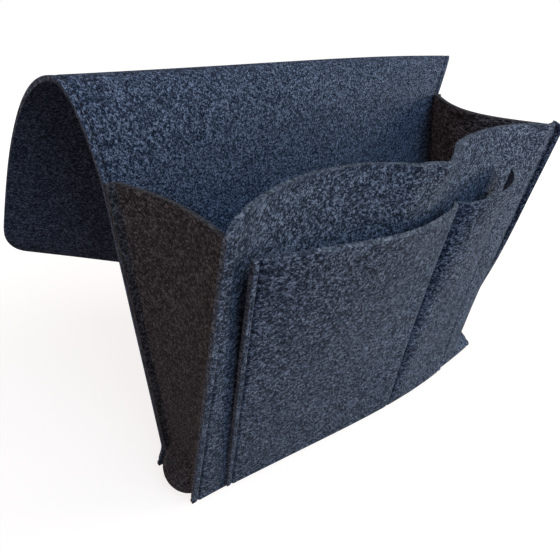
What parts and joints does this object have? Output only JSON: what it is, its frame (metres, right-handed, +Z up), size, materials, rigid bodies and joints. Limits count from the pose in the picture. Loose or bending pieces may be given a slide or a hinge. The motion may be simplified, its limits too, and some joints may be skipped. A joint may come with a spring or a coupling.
{
  "type": "bedside caddy",
  "caption": "Soft felt bedside caddy: an open pouch with side gussets, outer slip pockets with gaping mouths, and a long back sheet folded over into a hanging flap.",
  "frame": {"origin": "point on the flat rear face of the back panel, midway across and 105 mm above its lower edge", "axes": "+X to the caddy's right seen from the front, +Y backwards out of the back panel's rear face, +Z up"},
  "size_m": [0.3496, 0.3078, 0.268],
  "materials": {
    "navy_felt": "heathered pressed felt, matte",
    "charcoal_felt": "heathered pressed felt, matte"
  },
  "bodies": {
    "back": {"back_panel": "navy_felt", "base_strip": "charcoal_felt", "left_gusset": "charcoal_felt", "right_gusset": "charcoal_felt", "top_fold": "navy_felt"},
    "flap": {"flap": "navy_felt"},
    "front": {"front_panel": "navy_felt", "pocket_panel": "navy_felt"}
  },
  "joints": [
    {"name": "flap_fold", "type": "hinge", "parent": "back", "child": "flap", "pos_m": [0, 0.0135, 0.156], "axis": [0.9984, -0.0562, -0.0062], "range_deg": [-14, 148], "stiffness_Nm_per_rad": 0.3, "springref_deg": 6.65, "deforming": ["top_fold"]},
    {"name": "mouth_swing", "type": "hinge", "parent": "back", "child": "front", "pos_m": [0, -0.063, -0.0957], "axis": [1, 0, 0], "range_deg": [-24, 0], "deforming": ["left_gusset", "right_gusset"]}
  ]
}
